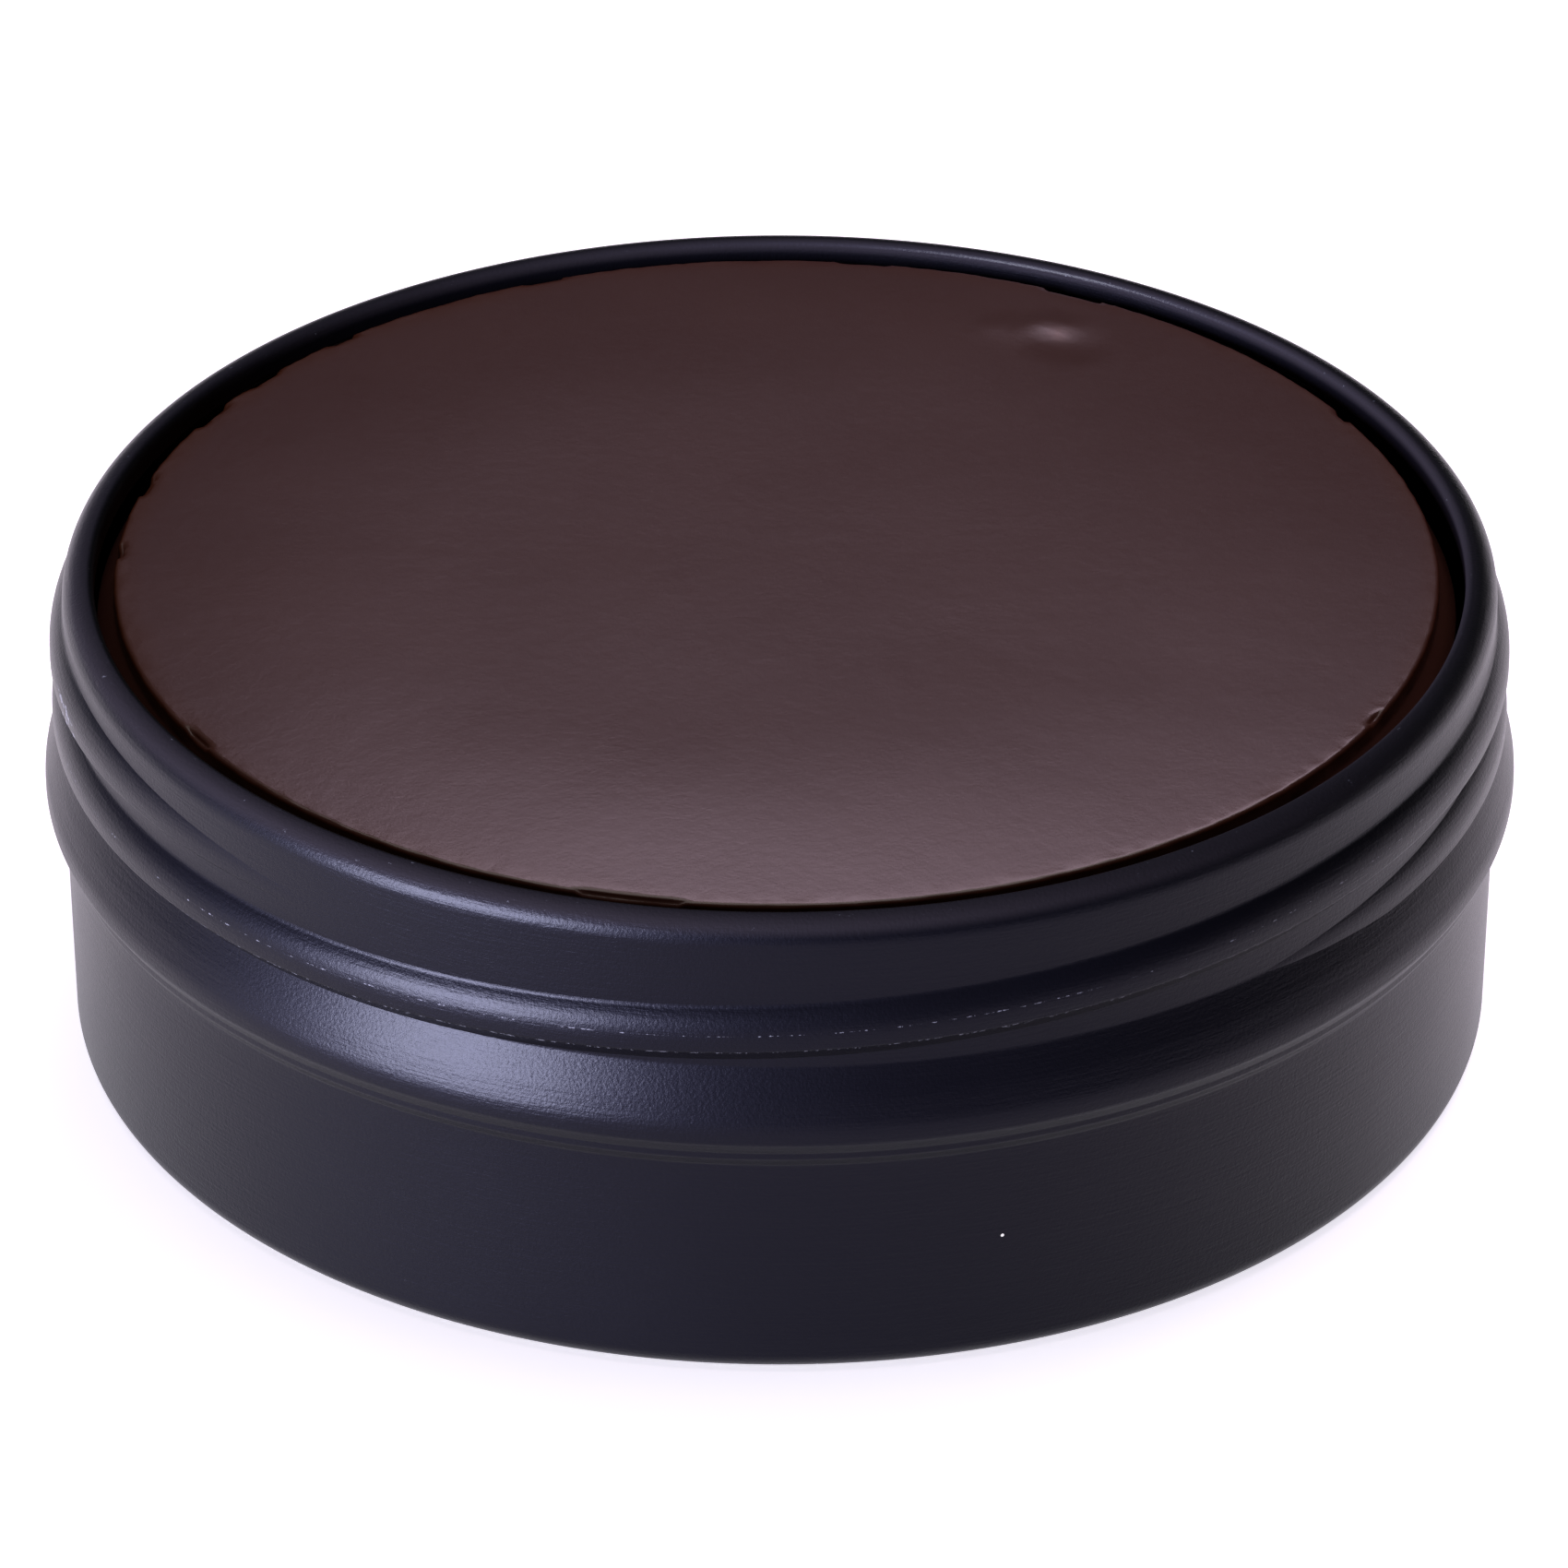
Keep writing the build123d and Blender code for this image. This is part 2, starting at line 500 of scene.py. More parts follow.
@dataclass(frozen=True)
class BlackLacquer:
    """Satin blue-black lacquer on aluminium sheet under a thin clear coat, rubbed pale on its edges."""

    rim_top: float
    lip_radius: float
    roughness: float = 0.40
    coat: float = 0.18
    coat_roughness: float = 0.25
    grain_per_m: float = 5200.0
    grain_depth: float = 0.000020
    scuff_depth: float = 0.000020
    ior: float = 1.30

    def material(self) -> bpy.types.Material:
        """Build the finish.

        Returns:
            The material.
        """
        sheet = NodeSheet("black_lacquer")
        shader = sheet.shader.inputs
        grain = sheet.noise(self.grain_per_m, detail=3, rough=0.6)
        cloud = sheet.noise(140, detail=3)
        streaks = sheet.noise(260, detail=4, rough=0.65, place=sheet.stretch(Vector((1, 1, 22))))
        wear = sheet.attribute("wear")
        patches = sheet.noise(2400, detail=4, rough=0.7)
        rubbed = sheet.ramp(sheet.maths("MULTIPLY", wear, patches), 0.56, 0.64)
        dust = sheet.specks(420, 0.040, 0.012)
        rim = sheet.ramp(sheet.height(), self.rim_top - 0.9 * MM, self.rim_top - 0.3 * MM)
        lip = sheet.ramp(sheet.radius(), self.lip_radius + 0.9 * MM, self.lip_radius + 0.3 * MM)
        # The rim's top gets a paler colour: a wax haze with a painted reflection of the room.
        colour = sheet.blend(rim, Tone.LACQUER, Tone.RIM_HAZE_AND_SHEEN)
        colour = sheet.blend(rubbed, colour, Tone.LACQUER_WORN)
        colour = sheet.blend(dust, colour, Tone.DUST)
        crumbs = sheet.maths("MULTIPLY", sheet.specks(300, 0.09, 0.03), rim)
        colour = sheet.blend(crumbs, colour, Tone.CRUMB)
        sheet.link(colour, shader["Base Color"])
        low = sheet.maths("MULTIPLY_ADD", cloud, 0.07, self.roughness - 0.035)
        rough = sheet.maths("MULTIPLY_ADD", grain, 0.10, low)
        dulled = sheet.maths("MULTIPLY_ADD", sheet.maths("MULTIPLY", lip, rim), 0.20, rough)
        sheet.link(sheet.maths("ADD", dulled, -0.05), shader["Roughness"])
        scuffs = sheet.bump(streaks, self.scuff_depth)
        relief = sheet.bump(grain, self.grain_depth, scuffs)
        sheet.link(relief, shader["Normal"])
        sheet.link(relief, shader["Coat Normal"])
        shader["IOR"].default_value = self.ior
        shader["Specular Tint"].default_value = (0.195, 0.188, 0.325, 1)
        shader["Coat Weight"].default_value = self.coat
        shader["Coat Roughness"].default_value = self.coat_roughness
        shader["Coat IOR"].default_value = self.ior
        return sheet.material


@dataclass(frozen=True)
class PolishWax:
    """Firm dark brown wax with a satin skin, its colour warmer towards its edge."""

    edge_radius: float
    edge_height: float
    roughness: float = 0.275
    ior: float = 1.44

    def material(self) -> bpy.types.Material:
        """Build the finish.

        Returns:
            The material.
        """
        sheet = NodeSheet("polish_wax")
        shader = sheet.shader.inputs
        broad = sheet.noise(38, detail=3)
        fine = sheet.noise(1500, detail=3, rough=0.6)
        skin = sheet.noise(5200, detail=2)
        ragged = sheet.maths("MULTIPLY_ADD", sheet.noise(240, detail=3), 1.6 * MM, sheet.radius())
        edge = sheet.ramp(ragged, self.edge_radius - 1.2 * MM, self.edge_radius + 1.0 * MM)
        colour = sheet.blend(sheet.ramp(broad, 0.35, 0.68), Tone.WAX_DEEP, Tone.WAX)
        # The colour turns warmer towards the cake's ragged edge.
        colour = sheet.blend(sheet.maths("MULTIPLY", edge, 0.95), colour, Tone.WAX_EDGE)
        # Painted glow: an orange patch round the blister.
        colour = sheet.blend(sheet.attribute("painted_glow"), colour, Tone.WAX_PAINTED_GLOW)
        colour = sheet.blend(sheet.specks(230, 0.03, 0.03), colour, Tone.WAX_FLECK)
        # Painted shade: the cake's side below its top edge, in the gap by the wall, turns darker.
        shaded_side = sheet.ramp(sheet.height(), self.edge_height - 0.25 * MM, self.edge_height - 0.75 * MM)
        colour = sheet.blend(shaded_side, colour, Tone.WAX_SIDE_PAINTED_SHADE)
        sheet.link(colour, shader["Base Color"])
        rough = sheet.maths("MULTIPLY_ADD", broad, 0.05, self.roughness - 0.025)
        sheet.link(sheet.maths("MULTIPLY_ADD", fine, 0.05, rough), shader["Roughness"])
        relief = sheet.bump(fine, 0.000010)
        sheet.link(sheet.bump(skin, 0.000004, relief), shader["Normal"])
        shader["IOR"].default_value = self.ior
        return sheet.material


@dataclass(frozen=True)
class WaxFilmFinish:
    """Thin amber-brown wax smeared on black lacquer, drawn much darker to paint the shade in the narrow gap
    under the curl.
    """

    roughness: float = 0.30

    def material(self) -> bpy.types.Material:
        """Build the finish.

        Returns:
            The material.
        """
        sheet = NodeSheet("wax_film")
        shader = sheet.shader.inputs
        patches = sheet.noise(420, detail=4, rough=0.65)
        smears = sheet.noise(900, detail=3)
        # Painted shade: both film colours are kept near black for the shaded gap under the curl.
        colour = sheet.blend(sheet.ramp(patches, 0.42, 0.60), Tone.FILM_DARK_PAINTED_SHADE, Tone.FILM_PAINTED_SHADE)
        sheet.link(colour, shader["Base Color"])
        sheet.link(sheet.maths("MULTIPLY_ADD", smears, 0.2, self.roughness - 0.1), shader["Roughness"])
        sheet.link(sheet.bump(smears, 0.00008), shader["Normal"])
        return sheet.material


@dataclass(frozen=True)
class PaleFloor:
    """Matt white studio floor, a little lit from below like a light table."""

    roughness: float = 0.85
    glow: float = 0.87

    def material(self) -> bpy.types.Material:
        """Build the finish.

        Returns:
            The material.
        """
        sheet = NodeSheet("pale_floor")
        shader = sheet.shader.inputs
        colour = sheet.blend(sheet.noise(3), (0.875, 0.845, 0.930, 1), Tone.FLOOR)
        sheet.link(colour, shader["Base Color"])
        sheet.link(colour, shader["Emission Color"])
        shader["Emission Strength"].default_value = self.glow
        shader["Roughness"].default_value = self.roughness
        return sheet.material


# ------------------------------------------------------------------ the tin


@dataclass
class TinShell:
    """The can: one aluminium sheet drawn to a cup, with a rolled rim and a rolled thread.

    Lengths are millimetres, angles degrees round from the front as seen from above.
    """

    height: float
    bead_radius: float
    sheet: float = 0.40
    neck_step: float = 1.35
    body_step_top: float = 1.05
    body_step_foot: float = 1.23
    rim_width: float = 1.80
    rim_shoulder: float = 1.40
    rim_lip: float = 0.38
    rim_depth: float = 1.75
    rim_tuck: float = 0.95
    bead_start_drop: float = 8.65
    bead_crown_drop: float = 10.3
    bead_crown_in: float = 0.56
    bead_shoulder_drop: float = 11.8
    bead_heel_drop: float = 12.78
    heel_fold_drop: float = 13.95
    heel_fold_step: float = 0.52
    body_start_drop: float = 14.60
    foot_round: float = 1.2
    foot_land: float = 4.4
    panel_rise: float = 0.60
    panel_slope: float = 1.3
    thread_depth: float = 0.80
    thread_lead: float = 3.70
    thread_steep_share: float = 0.66
    steep_from: float = -50.0
    steep_to: float = 85.0
    thread_drop: float = 7.95
    thread_start: float = -330.0
    thread_end: float = 322.0
    start_fade: float = 58.0
    end_fade: float = 42.0
    crest_land: float = 1.45
    crest_round: float = 2.4
    flank_up: float = 0.89
    flank_down: float = 0.90
    columns: int = 288

    @property
    def neck_radius(self) -> float:
        """Outside radius of the screw neck.

        Returns:
            The radius, in millimetres.
        """
        return self.bead_radius - self.neck_step

    @property
    def lip_radius(self) -> float:
        """Radius of the mouth, at the rolled rim's inner edge.

        Returns:
            The radius, in millimetres.
        """
        return self.neck_radius - self.rim_width

    def outside_line(self) -> list[Vector]:
        """Outside of the can from the middle of the base, over the rim and into its curl.

        Returns:
            Points of the half section, in metres.
        """
        foot = self.bead_radius - self.body_step_foot
        body = self.bead_radius - self.body_step_top
        inner = foot - self.foot_round - self.foot_land
        h = self.height
        corners = [
            Corner(0, self.panel_rise),
            Corner(inner - self.panel_slope, self.panel_rise, 0.5),
            Corner(inner, 0, 0.5),
            Corner(foot, 0, self.foot_round),
            Corner(body, h - self.body_start_drop, 0.3),
            Corner(body + self.heel_fold_step, h - self.heel_fold_drop, 0.30),
            Corner(body + self.heel_fold_step, h - self.heel_fold_drop + 0.40, 0.16),
            Corner(self.bead_radius, h - self.bead_heel_drop, 0.55),
            Corner(self.bead_radius, h - self.bead_shoulder_drop, 2.5),
            Corner(self.bead_radius - self.bead_crown_in, h - self.bead_crown_drop, 6.0),
            Corner(self.neck_radius, h - self.bead_start_drop, 0.5),
            Corner(self.neck_radius, h, self.rim_shoulder),
            Corner(self.lip_radius, h, self.rim_lip),
            Corner(self.lip_radius, h - self.rim_depth, self.rim_lip),
            Corner(self.neck_radius - self.rim_tuck, h - self.rim_depth),
        ]
        return spaced(rounded(corners, degrees=7), 1.3 * MM)

    def inside_line(self) -> list[Vector]:
        """Inside of the can, back from the curl's hidden edge to the middle of the floor.

        Returns:
            Points of the half section, in metres.
        """
        t = self.sheet
        foot = self.bead_radius - self.body_step_foot - t
        ring = foot + t - self.foot_round - self.foot_land
        h = self.height
        corners = [
            Corner(self.neck_radius - self.rim_tuck, h - self.rim_depth + t),
            Corner(self.lip_radius + t, h - self.rim_depth + t, 0.1),
            Corner(self.lip_radius + t, h - t, 0.1),
            Corner(self.neck_radius - t, h - t, self.rim_shoulder - t),
            Corner(self.neck_radius - t, h - self.bead_start_drop, 0.5),
            Corner(self.bead_radius - self.bead_crown_in - t, h - self.bead_crown_drop, 6.0),
            Corner(self.bead_radius - t, h - self.bead_shoulder_drop, 2.1),
            Corner(self.bead_radius - t, h - self.bead_heel_drop + 0.3, 0.2),
            Corner(foot + 0.18, h - self.body_start_drop + 0.1, 0.3),
            Corner(foot, t, self.foot_round - t),
            Corner(ring, t, 0.3),
            Corner(ring - self.panel_slope, self.panel_rise + t, 0.3),
            Corner(0, self.panel_rise + t),
        ]
        return spaced(rounded(corners), 3 * MM)

    def crest_height(self, angle: float) -> float:
        """Height of the thread's crest at an angle that counts on from turn to turn.

        Args:
            angle: degrees round from the front.

        Returns:
            The height, in millimetres.
        """
        turn = math.floor((angle - self.steep_from) / 360)
        part = min((angle - self.steep_from - 360 * turn) / (self.steep_to - self.steep_from), 1)
        eased = part * part * (3 - 2 * part)
        steep = self.thread_lead * self.thread_steep_share * (turn + eased)
        steady = self.thread_lead * (1 - self.thread_steep_share) * angle / 360
        return self.height - self.thread_drop + steep + steady

    def stand_out(self, angle: float) -> float:
        """Share of the full thread depth reached at an angle.

        Args:
            angle: degrees round from the front.

        Returns:
            The share, 0 where the ridge has sunk into the neck.
        """
        start_rise = (angle - self.thread_start) / self.start_fade
        end_rise = (self.thread_end - angle) / self.end_fade
        rise = min(start_rise, end_rise, 1)
        return rise * rise * (3 - 2 * rise)

    def ridge_section(self) -> list[Vector]:
        """Half-open section of the thread's ridge: x out from the neck, z up from the crest's lower edge.

        Returns:
            Points of the section, in metres.
        """
        top = self.crest_land + self.flank_up
        corners = [
            Corner(-0.03, top + 0.8),
            Corner(-0.01, top, 0.5),
            Corner(self.thread_depth, self.crest_land, self.crest_round),
            Corner(self.thread_depth, 0, 0.2),
            Corner(-0.01, -self.flank_down, 0.15),
            Corner(-0.03, -self.flank_down - 0.3),
        ]
        return rounded(corners, degrees=6)

    def build_wall(self) -> bpy.types.Object:
        """Spin the can's section once round.

        Returns:
            The can without its thread.
        """
        piece = draw_line("tin_shell", self.outside_line() + self.inside_line())
        turn_line(piece, self.columns)
        return piece

    def build_thread(self) -> bpy.types.Object:
        """Screw the ridge's section round the neck, then give it its uneven lead and faded ends.

        The lead changes round the turn and both ends sink into the neck, which no operator makes,
        so each row of the screwed ridge is set to its own height and depth in code.

        Returns:
            The ridge.
        """
        section = self.ridge_section()
        turns = (self.thread_end - self.thread_start) / 360
        steps = round(turns * self.columns)
        line = [point + Vector((self.neck_radius, 0, 0)) * MM for point in section]
        piece = draw_line("thread_ridge", line)
        bpy.ops.object.mode_set(mode="OBJECT")
        apply_modifier(piece, "SCREW", angle=turns * 2 * math.pi, steps=steps, render_steps=steps,
                       screw_offset=turns * self.thread_lead * MM, use_merge_vertices=False)
        count = len(section)
        for index, vertex in enumerate(piece.data.vertices):
            angle = self.thread_start + (self.thread_end - self.thread_start) * (index // count) / steps
            point = section[index % count]
            around = math.radians(angle - 90)
            sunk = self.thread_depth * (1 - self.stand_out(angle)) * MM
            radius = self.neck_radius * MM + point.x - sunk
            vertex.co = (radius * math.cos(around), radius * math.sin(around),
                         self.crest_height(angle) * MM + point.z)
        edit(piece)
        bpy.ops.mesh.select_all(action="SELECT")
        bpy.ops.mesh.normals_make_consistent(inside=False)
        bpy.ops.object.mode_set(mode="OBJECT")
        return piece

    def mark_wear(self, piece: bpy.types.Object) -> None:
        """Record where handling rubs the lacquer: the bead's slope, the thread's crest and the rim.

        Args:
            piece: the joined shell.
        """
        slope_line = self.height - self.bead_start_drop - 0.55
        slope_reach = 0.11
        slope_wear, crest_wear, rim_wear = 1.0, 1.08, 0.84
        wear = piece.data.attributes.new(name="wear", type="FLOAT", domain="POINT")
        crest = self.neck_radius + self.thread_depth
        for i, vertex in enumerate(piece.data.vertices):
            radius = math.hypot(vertex.co.x, vertex.co.y) / MM
            height = vertex.co.z / MM
            level = 0.0
            if radius > self.neck_radius - 0.1:
                level = slope_wear * (1 - min(1, abs(height - slope_line) / slope_reach))
            if height > self.height - self.bead_start_drop and 0.02 < crest - radius < 0.09:
                level = max(level, crest_wear)
            if height > self.height - 0.5:
                level = max(level, rim_wear)
            wear.data[i].value = level

    def build(self, finish: BlackLacquer) -> bpy.types.Object:
        """Build, join and dress the can.

        Args:
            finish: the lacquer.

        Returns:
            The finished can.
        """
        wall = self.build_wall()
        thread = self.build_thread()
        pick(wall)
        thread.select_set(True)
        bpy.ops.object.join()
        self.mark_wear(wall)
        finish_mesh(wall, finish.material(), 50)
        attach(wall, BODY)
        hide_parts("tin_body")
        return wall


# ------------------------------------------------------------------ the wax


class Notch(NamedTuple):
    """A chip out of the cake's edge: place round the edge in degrees, width and depth in millimetres."""

    angle: float
    width: float
    depth: float


@dataclass
class WaxCake:
    """The cake of polish, shrunk from the wall, with a broken edge and one blister."""

    top: float
    floor: float
    top_radius: float
    wall_radius: float
    neck_depth: float
    taper_depth: float
    shift: tuple[float, float]
    edge_round: float = 0.30
    dome_drop: float = 0.50
    dome_reach: float = 17.0
    columns: int = 540
    blister: tuple[float, float] = (16.2, 28.1)
    notches: tuple[Notch, ...] = (
        Notch(-11.8, 5.7, 0.22), Notch(-58.0, 2.4, 0.25), Notch(-92.0, 1.3, 0.35), Notch(-104.0, 2.2, 0.30),
        Notch(-118.0, 3.0, 0.32), Notch(-126.0, 2.6, 0.34), Notch(-136.5, 1.8, 0.38),
        Notch(-158.0, 2.2, 0.25), Notch(172.0, 3.0, 0.22), Notch(151.5, 3.6, 0.32),
        Notch(118.0, 1.4, 0.25), Notch(62.0, 1.2, 0.25),
    )

    def section(self) -> list[Vector]:
        """Half section from the middle of the underside to the middle of the top.

        Returns:
            Points of the half section, in metres.
        """
        low_round = 0.3
        corners = [
            Corner(0, self.floor),
            Corner(self.wall_radius - 6.5, self.floor, 1.0),
            Corner(self.wall_radius, self.floor + self.taper_depth, 0.8),
            Corner(self.wall_radius, self.top - self.neck_depth - self.taper_depth, low_round),
            Corner(self.top_radius, self.top - self.neck_depth, low_round),
            Corner(self.top_radius, self.top - self.dome_drop, self.edge_round),
            Corner(self.top_radius - 1.0, self.top - self.dome_height(1.0)),
        ]
        dome: list[Vector] = []
        inset = 0.45
        while inset < self.top_radius:
            dome.append(Vector((self.top_radius - inset, 0, self.top - self.dome_height(inset))) * MM)
            inset += min(0.8, 0.12 + 0.25 * inset)
        dome.append(Vector((0, 0, self.top)) * MM)
        return spaced(rounded(corners, degrees=11)[:-1], 0.8 * MM) + dome

    def dome_height(self, inset: float) -> float:
        """How far the top lies below its middle.

        Args:
            inset: distance in from the cake's edge, in millimetres.

        Returns:
            The drop, in millimetres.
        """
        share = max(0.0, 1 - inset / self.dome_reach)
        return self.dome_drop * share * share

    def build(self, finish: PolishWax) -> bpy.types.Object:
        """Spin the cake, break its edge, raise the blister and dress it.

        Args:
            finish: the wax.

        Returns:
            The finished cake.
        """
        piece = draw_line("wax_cake", self.section())
        turn_line(piece, self.columns)
        edit(piece)
        for notch in self.notches:
            self.chip(piece, notch)
        self.raise_blister(piece)
        bpy.ops.mesh.select_all(action="SELECT")
        bpy.ops.transform.translate(value=(self.shift[0] * MM, self.shift[1] * MM, 0))
        bpy.ops.object.mode_set(mode="OBJECT")
        self.mark_edge(piece)
        self.roughen(piece)
        finish_mesh(piece, finish.material(), 60)
        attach(piece, BODY)
        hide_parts("polish_cake")
        return piece

    def chip(self, piece: bpy.types.Object, notch: Notch) -> None:
        """Sink a short stretch of the top edge and draw it in a little.

        Args:
            piece: the cake, open in edit mode.
            notch: the chip.
        """
        bpy.ops.mesh.select_all(action="DESELECT")
        around = math.radians(notch.angle - 90)
        out = Vector((math.cos(around), math.sin(around), 0))
        centre = out * self.top_radius * MM
        reach = notch.width / 2 * MM
        rim = (self.top_radius - notch.depth) * MM

        def near(place: Vector) -> bool:
            """Whether a place is on the stretch of edge."""
            flat = Vector((place.x, place.y, 0))
            return (flat - centre).length < reach and flat.length > rim and place.z > (self.top - 1.3) * MM

        if select_where(piece, near):
            push = -0.3 * out * notch.depth + Vector((0, 0, -notch.depth))
            bpy.ops.transform.translate(
                value=push * MM, use_proportional_edit=True,
                proportional_edit_falloff="SHARP", proportional_size=0.25 * MM)

    def raise_blister(self, piece: bpy.types.Object) -> None:
        """Raise a low blister with a shallow hollow in front of it, near the back right of the top.

        Args:
            piece: the cake, open in edit mode.
        """
        blister = Vector((*self.blister, 0))
        swellings = (
            (Vector((0, 0, 0)), 1.9, 0.20),
            (Vector((0.5, -2.4, 0)), 3.0, -0.16),
            (Vector((-2.6, -0.5, 0)), 2.2, 0.09),
        )
        for offset, size, lift in swellings:
            bpy.ops.mesh.select_all(action="DESELECT")
            centre = (blister + offset) * MM

            def near(place: Vector, centre: Vector = centre) -> bool:
                """Whether a place is under the middle of the swelling."""
                flat = Vector((place.x - centre.x, (place.y - centre.y) * 1.6, 0))
                return flat.length < 0.7 * MM and place.z > (self.top - 0.6) * MM

            if select_where(piece, near):
                bpy.ops.transform.translate(
                    value=(0, 0, lift * MM), use_proportional_edit=True,
                    proportional_edit_falloff="SMOOTH", proportional_size=size * MM)

    def mark_edge(self, piece: bpy.types.Object) -> None:
        """Record where the top edge may crumble, and where an orange glow round the blister is painted.

        Args:
            piece: the cake, in object mode.
        """
        edge = piece.vertex_groups.new(name="edge")
        glow: list[float] = []
        for vertex in piece.data.vertices:
            place = vertex.co / MM
            inset = self.top_radius - math.hypot(place.x - self.shift[0], place.y - self.shift[1])
            if place.z > self.top - 1.4 and inset < 0.9:
                edge.add([vertex.index], 1 - max(0.0, inset) / 0.9, "REPLACE")
            # Painted glow round the blister, fading out within about 1.3 mm.
            away = math.hypot(place.x - self.blister[0] - 0.2, (place.y - self.blister[1] + 0.8) * 1.5)
            glow.append(max(0.0, 1 - away / 1.3) ** 2 * 0.75)
        painted_glow = piece.data.attributes.new(name="painted_glow", type="FLOAT", domain="POINT")
        painted_glow.data.foreach_set("value", glow)

    def roughen(self, piece: bpy.types.Object) -> None:
        """Give the cake the slight unevenness of poured wax and a crumbled edge.

        Args:
            piece: the cake, in object mode.
        """
        apply_modifier(piece, "DISPLACE", texture=clouds("wax_swell", 16 * MM, 1), texture_coords="LOCAL",
                       strength=0.10 * MM, mid_level=0.62)
        apply_modifier(piece, "DISPLACE", texture=clouds("wax_crumble", 0.7 * MM, 3), texture_coords="LOCAL",
                       strength=0.12 * MM, mid_level=0.62, vertex_group="edge")
        apply_modifier(piece, "DISPLACE", texture=clouds("wax_grain", 1.6 * MM, 3), texture_coords="LOCAL",
                       strength=0.012 * MM, mid_level=0.55)


@dataclass
class WaxFilm:
    """Wax left on the neck's wall just under the curl, thicker in some places than in others."""

    wall_radius: float
    top: float
    height: float
    thickness: float
    columns: int = 240

    def section(self) -> list[Vector]:
        """Closed half section of the film, on the wall side first.

        Returns:
            Points of the half section, in metres.
        """
        mid = self.top - self.height / 2
        corners = [
            Corner(self.wall_radius, self.top),
            Corner(self.wall_radius, self.top - self.height),
            Corner(self.wall_radius - self.thickness * 0.5, self.top - self.height, 0.08),
            Corner(self.wall_radius - self.thickness, mid, 0.15),
            Corner(self.wall_radius - self.thickness * 0.5, self.top, 0.08),
            Corner(self.wall_radius, self.top),
        ]
        return rounded(corners)

    def build(self, finish: WaxFilmFinish) -> bpy.types.Object:
        """Spin the film, make it uneven and dress it.

        Args:
            finish: the smeared wax.

        Returns:
            The finished film.
        """
        piece = draw_line("wax_smear", self.section())
        turn_line(piece, self.columns)
        apply_modifier(piece, "DISPLACE", texture=clouds("film_lumps", 2.5 * MM, 2), texture_coords="LOCAL",
                       strength=0.16 * MM, mid_level=0.75)
        finish_mesh(piece, finish.material(), 60)
        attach(piece, BODY)
        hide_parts("wax_film")
        return piece


# ------------------------------------------------------------------ studio


class Lit(Enum):
    """What a softbox lights."""

    CAN = "can"
    REST = "rest"


class Softbox(NamedTuple):
    """A soft light: bearing round from the front and rise in degrees, distance and size in metres."""

    name: str
    bearing: float
    rise: float
    distance: float
    width: float
    tall: float
    power: float
    colour: tuple[float, float, float]
    lit: Lit


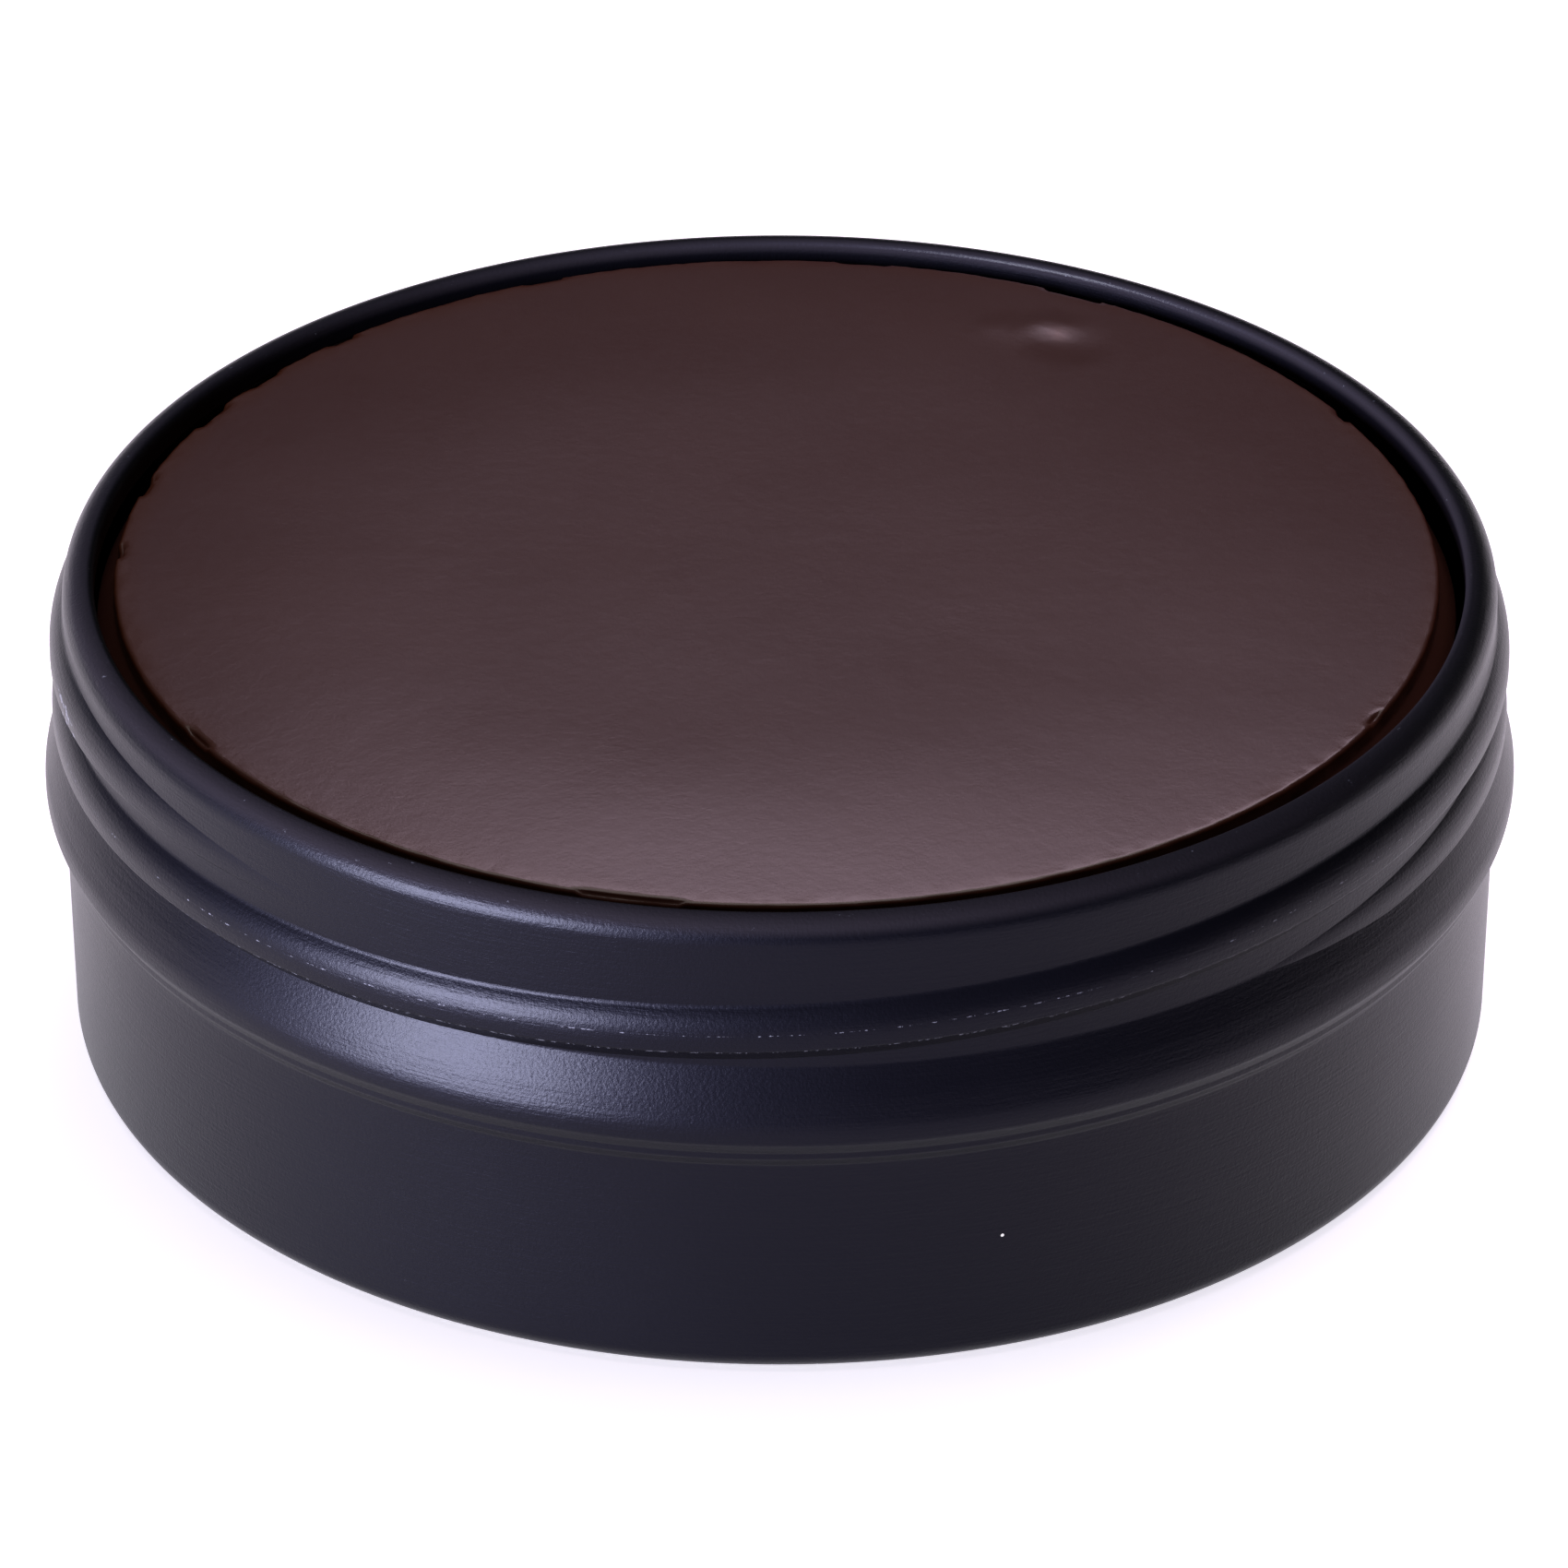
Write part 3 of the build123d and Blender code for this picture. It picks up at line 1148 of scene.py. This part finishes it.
@dataclass
class Studio:
    """Plain pale floor, soft light, and a long-lens camera that looks down on the tin."""

    height: float
    camera_rise: float = 30.49
    camera_distance: float = 524.2
    focal: float = 211.9
    aim_height: float = 13.04
    aim_right: float = 0.24
    world_light: float = 0.06
    boxes: tuple[Softbox, ...] = (
        Softbox("key_left", -47.0, 13.0, 0.60, 0.34, 0.30, 25.0, (0.81, 0.84, 1.0), Lit.CAN),
        Softbox("overhead", 180.0, 84.0, 0.70, 0.90, 0.60, 3.2, (1.0, 0.93, 0.90), Lit.REST),
        Softbox("back_panel", 156.0, 51.5, 0.50, 0.46, 0.15, 1.10, (1.0, 0.76, 0.93), Lit.REST),
    )

    def lay_floor(self) -> bpy.types.Object:
        """Lay the floor that the tin stands on.

        Returns:
            The floor.
        """
        clean_start()
        bpy.ops.mesh.primitive_plane_add(size=12)
        floor = bpy.context.object
        floor.name = "studio_floor"
        floor.data.materials.append(PaleFloor().material())
        return floor

    def hang_lights(self, can: Sequence[bpy.types.Object], rest: Sequence[bpy.types.Object]) -> None:
        """Hang the softboxes, all turned to the tin, each lighting only its own group.

        Args:
            can: the metal can and what clings to it.
            rest: the wax and the floor.
        """
        groups: dict[Lit, bpy.types.Collection] = {}
        for lit, pieces in ((Lit.CAN, can), (Lit.REST, rest)):
            groups[lit] = bpy.data.collections.new(f"lit_{lit.value}")
            for piece in pieces:
                groups[lit].objects.link(piece)
        middle = Vector((0, 0, self.height / 2 * MM))
        for box in self.boxes:
            bearing = math.radians(box.bearing - 90)
            rise = math.radians(box.rise)
            level = math.cos(rise)
            arm = Vector((math.cos(bearing) * level, math.sin(bearing) * level, math.sin(rise)))
            clean_start()
            bpy.ops.object.light_add(type="AREA", location=middle + arm * box.distance)
            light = bpy.context.object
            light.name = box.name
            light.data.shape = "RECTANGLE"
            light.data.size = box.width
            light.data.size_y = box.tall
            light.data.energy = box.power
            light.data.color = box.colour
            light.rotation_euler = (-arm).to_track_quat("-Z", "Y").to_euler()
            light.light_linking.receiver_collection = groups[box.lit]
            LOG.info("light %s", box.name)

    def light_world(self) -> None:
        """Fill the room with even light."""
        world = bpy.data.worlds.new("studio_room")
        world.use_nodes = True
        background = world.node_tree.nodes["Background"]
        background.inputs["Color"].default_value = (0.84, 0.88, 1.0, 1)
        background.inputs["Strength"].default_value = self.world_light
        bpy.context.scene.world = world
        bpy.context.scene.view_settings.view_transform = "Standard"

    def place_camera(self) -> None:
        """Stand the camera in front of the tin and make it the scene's camera."""
        rise = math.radians(self.camera_rise)
        aim = Vector((self.aim_right, 0, self.aim_height)) * MM
        arm = Vector((0, -math.cos(rise), math.sin(rise)))
        clean_start()
        bpy.ops.object.camera_add(location=aim + arm * self.camera_distance * MM)
        camera = bpy.context.object
        camera.name = "camera"
        camera.data.lens = self.focal
        camera.data.sensor_width = 36
        camera.data.clip_start = 0.01
        camera.rotation_euler = (math.pi / 2 - rise, 0, 0)
        bpy.context.scene.camera = camera

    def build(self, can: Sequence[bpy.types.Object], wax: Sequence[bpy.types.Object]) -> None:
        """Set up the whole studio.

        Args:
            can: the metal can and what clings to it.
            wax: the cake.
        """
        floor = self.lay_floor()
        self.light_world()
        self.hang_lights(can, [*wax, floor])
        self.place_camera()


def main() -> None:
    """Build the tin and its wax, then the studio round them."""
    logging.basicConfig(level=logging.INFO, format="%(name)s: %(message)s")
    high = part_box("tin_body")[1]
    cake_low, cake_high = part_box("polish_cake")
    film_low, film_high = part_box("wax_film")
    shell = TinShell(height=high[2] / MM, bead_radius=high[0] / MM)
    tin = shell.build(BlackLacquer(rim_top=shell.height * MM, lip_radius=shell.lip_radius * MM))
    shift = ((cake_high[0] + cake_low[0]) / 2 / MM, (cake_high[1] + cake_low[1]) / 2 / MM)
    inside_box = 0.05
    rim_gap = 1.25
    cake = WaxCake(
        top=cake_high[2] / MM - inside_box, floor=cake_low[2] / MM + inside_box,
        top_radius=shell.lip_radius - rim_gap,
        wall_radius=(cake_high[0] - cake_low[0]) / 2 / MM - 0.1,
        neck_depth=1.5, taper_depth=1.2, shift=shift)
    edge_height = cake.top - cake.dome_drop
    wax = cake.build(PolishWax(edge_radius=cake.top_radius * MM, edge_height=edge_height * MM))
    film = WaxFilm(wall_radius=film_high[0] / MM, top=film_high[2] / MM,
                   height=(film_high[2] - film_low[2]) / MM, thickness=0.25)
    smear = film.build(WaxFilmFinish())
    Studio(height=shell.height).build([tin, smear], [wax])


if __name__ == "__main__":
    main()
